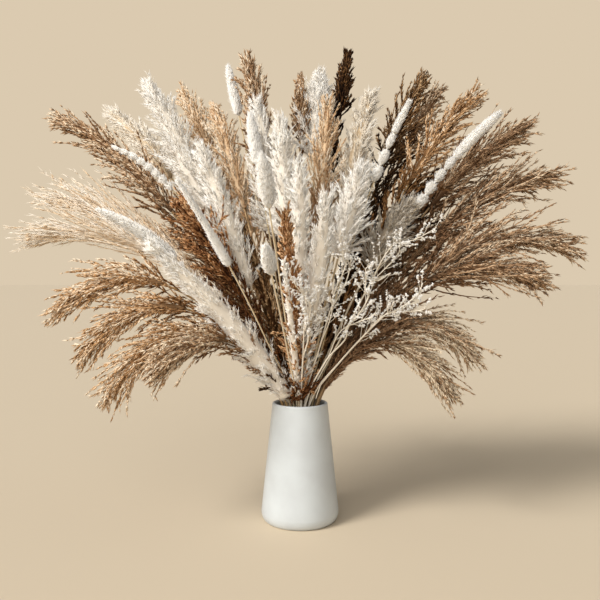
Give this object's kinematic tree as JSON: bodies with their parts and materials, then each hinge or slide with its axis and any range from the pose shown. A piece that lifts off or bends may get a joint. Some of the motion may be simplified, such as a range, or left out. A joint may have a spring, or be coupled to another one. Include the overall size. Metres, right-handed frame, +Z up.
{
  "type": "bundle of pampas grass",
  "caption": "Upright bunch of dried grasses in a tapered ceramic vase: feathery white plumes, tan, rust and brown reeds, slim white spikes and fine flower sprays.",
  "frame": {"origin": "middle of the vase's flat foot, on the surface it stands on", "axes": "+Z up along the vase's axis; +X across the bunch, its widest way; -Y towards the front of the bunch"},
  "size_m": [0.6895, 0.4139, 0.613],
  "materials": {
    "vase_glaze": "satin",
    "pampas_white": "matte",
    "pampas_beige": "matte",
    "pampas_grey": "matte",
    "foxtail": "matte",
    "bunny_tail": "matte",
    "reed_tan": "matte",
    "reed_rust": "matte",
    "reed_brown": "matte",
    "reed_taupe": "matte",
    "caspia": "matte"
  },
  "bodies": {
    "root": {"vase": "vase_glaze", "pampas_white_01": "pampas_white", "pampas_white_02": "pampas_white", "pampas_white_03": "pampas_white", "pampas_white_04": "pampas_white", "pampas_white_05": "pampas_white", "pampas_white_06": "pampas_white", "pampas_white_07": "pampas_white", "pampas_white_08": "pampas_white", "pampas_white_09": "pampas_white", "pampas_white_10": "pampas_white", "pampas_beige_01": "pampas_beige", "pampas_beige_02": "pampas_beige", "pampas_beige_03": "pampas_beige", "pampas_beige_04": "pampas_beige", "pampas_grey_01": "pampas_grey", "foxtail_01": "foxtail", "foxtail_02": "foxtail", "foxtail_03": "foxtail", "foxtail_04": "foxtail", "foxtail_05": "foxtail", "foxtail_06": "foxtail", "foxtail_07": "foxtail", "bunny_tail_01": "bunny_tail", "bunny_tail_02": "bunny_tail", "reed_tan_01": "reed_tan", "reed_tan_02": "reed_tan", "reed_tan_03": "reed_tan", "reed_tan_04": "reed_tan", "reed_tan_05": "reed_tan", "reed_tan_06": "reed_tan", "reed_tan_07": "reed_tan", "reed_tan_08": "reed_tan", "reed_rust_01": "reed_rust", "reed_rust_02": "reed_rust", "reed_rust_03": "reed_rust", "reed_rust_04": "reed_rust", "reed_brown_01": "reed_brown", "reed_brown_02": "reed_brown", "reed_brown_03": "reed_brown", "reed_brown_04": "reed_brown", "reed_brown_05": "reed_brown", "reed_brown_06": "reed_brown", "reed_brown_07": "reed_brown", "reed_brown_08": "reed_brown", "reed_brown_09": "reed_brown", "reed_taupe_01": "reed_taupe", "reed_taupe_02": "reed_taupe", "reed_taupe_03": "reed_taupe", "reed_taupe_04": "reed_taupe", "reed_taupe_05": "reed_taupe", "reed_taupe_06": "reed_taupe", "reed_taupe_07": "reed_taupe", "reed_taupe_08": "reed_taupe", "reed_taupe_09": "reed_taupe", "caspia_01": "caspia", "caspia_02": "caspia", "caspia_03": "caspia", "caspia_04": "caspia", "caspia_05": "caspia"}
  },
  "joints": []
}
